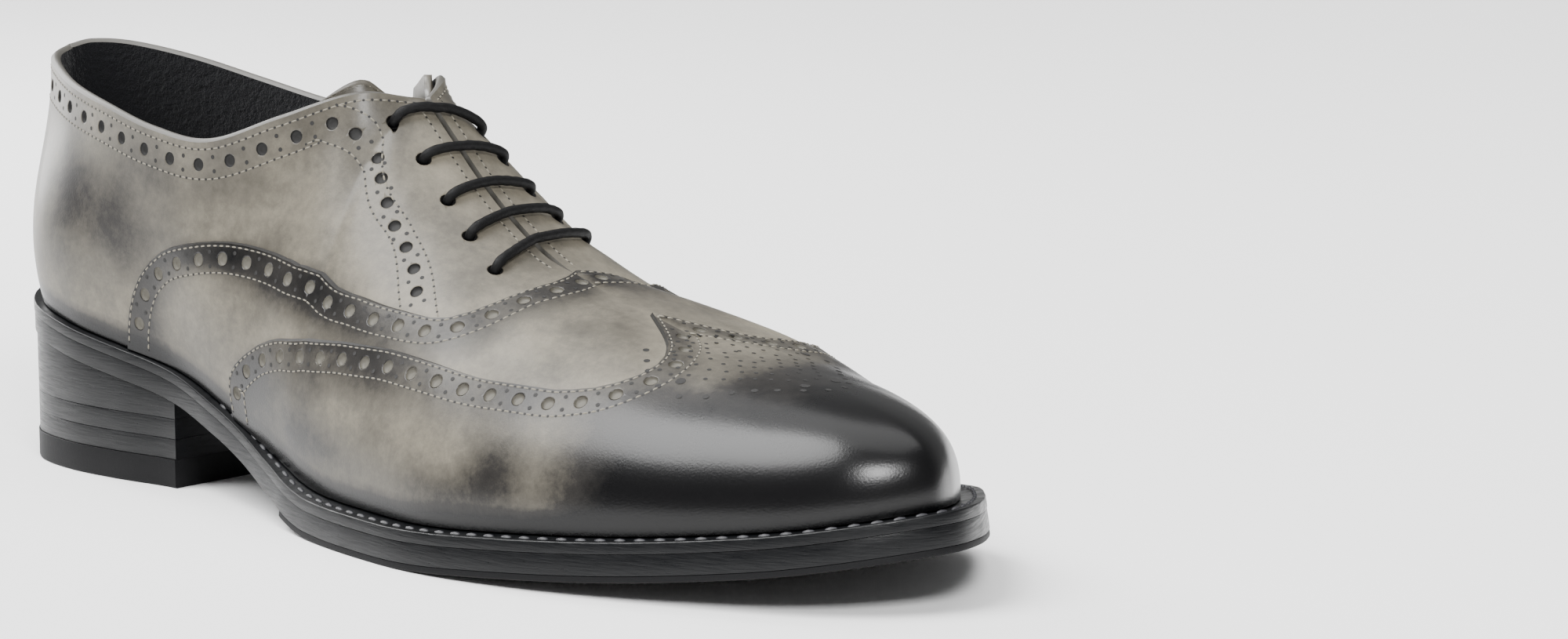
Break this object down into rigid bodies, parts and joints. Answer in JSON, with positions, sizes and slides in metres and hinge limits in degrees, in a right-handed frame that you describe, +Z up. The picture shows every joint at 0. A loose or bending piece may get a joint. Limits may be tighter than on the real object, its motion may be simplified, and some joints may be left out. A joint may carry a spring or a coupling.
{
  "type": "wingtip dress shoe with a high heel",
  "caption": "Right wingtip lace-up dress shoe with brogue pattern, straight lace bars, almond toe and a high stacked heel.",
  "frame": {"origin": "on the floor, in the middle of the shoe's bounding box", "axes": "+X towards the toe, +Z up, -Y towards the outer (lateral) side of the right foot"},
  "size_m": [0.3067, 0.1068, 0.1034],
  "materials": {
    "upper_leather": "hand-burnished smooth calf, satin",
    "lining_leather": "matt black",
    "sole_leather": "waxed black edge, satin",
    "heel_rubber": "matt black",
    "lace_cord": "waxed round braid"
  },
  "bodies": {
    "root": {"upper": "upper_leather", "tongue": "upper_leather", "insole": "lining_leather", "welt": "sole_leather", "outsole": "sole_leather", "heel_wedge": "sole_leather", "heel_lift_1": "sole_leather", "heel_lift_2": "sole_leather", "half_sole": "heel_rubber", "heel_top_piece": "heel_rubber", "lace_bar_1": "lace_cord", "lace_bar_2": "lace_cord", "lace_bar_3": "lace_cord", "lace_bar_4": "lace_cord", "lace_bar_5": "lace_cord"}
  },
  "joints": []
}
